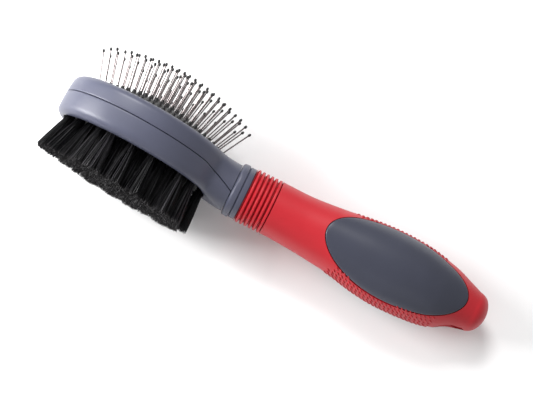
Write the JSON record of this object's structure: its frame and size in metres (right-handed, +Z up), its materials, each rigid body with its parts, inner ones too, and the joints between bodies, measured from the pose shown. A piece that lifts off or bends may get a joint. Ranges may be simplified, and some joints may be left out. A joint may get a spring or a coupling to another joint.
{
  "type": "double-sided grooming brush",
  "caption": "Pet grooming brush: ball-tipped steel pins in a domed air cushion on one side, bristle tufts on the other, on a soft ribbed grip with hard palm insets.",
  "frame": {"origin": "centre of the bounding box at its bottom, on the surface that the brush lies on", "axes": "the brush lies on its side: +X along the handle towards its end, +Y towards the pins, +Z up"},
  "size_m": [0.2238, 0.0688, 0.0585],
  "materials": {
    "grey_plastic": "satin slate grey",
    "red_soft_rubber": "satin red thermoplastic rubber",
    "black_rubber": "matt black",
    "black_plastic": "matt black",
    "black_nylon": "black filaments with a slight sheen",
    "bright_steel": "bright drawn wire, black ball tips"
  },
  "bodies": {
    "brush": {"bristle_shell": "grey_plastic", "pin_frame": "grey_plastic", "collar_ring": "grey_plastic", "handle_core": "grey_plastic", "palm_inset_left": "grey_plastic", "palm_inset_right": "grey_plastic", "grip_sleeve": "red_soft_rubber", "bristle_plate": "black_plastic", "bristle_row_01": "black_nylon", "bristle_row_02": "black_nylon", "bristle_row_03": "black_nylon", "bristle_row_04": "black_nylon", "bristle_row_05": "black_nylon", "bristle_row_06": "black_nylon", "bristle_row_07": "black_nylon", "bristle_row_08": "black_nylon", "bristle_row_09": "black_nylon", "bristle_row_10": "black_nylon", "bristle_row_11": "black_nylon", "bristle_row_12": "black_nylon", "bristle_row_13": "black_nylon", "bristle_row_14": "black_nylon"},
    "cushion": {"cushion_pad": "black_rubber", "pin_row_01": "bright_steel", "pin_row_02": "bright_steel", "pin_row_03": "bright_steel", "pin_row_04": "bright_steel", "pin_row_05": "bright_steel", "pin_row_06": "bright_steel", "pin_row_07": "bright_steel", "pin_row_08": "bright_steel", "pin_row_09": "bright_steel"}
  },
  "joints": [
    {"name": "cushion_press", "type": "slide", "parent": "brush", "child": "cushion", "axis": [-0.0557, -0.9984, 0.0043], "range_m": [0, 0.002], "stiffness_N_per_m": 1500}
  ]
}
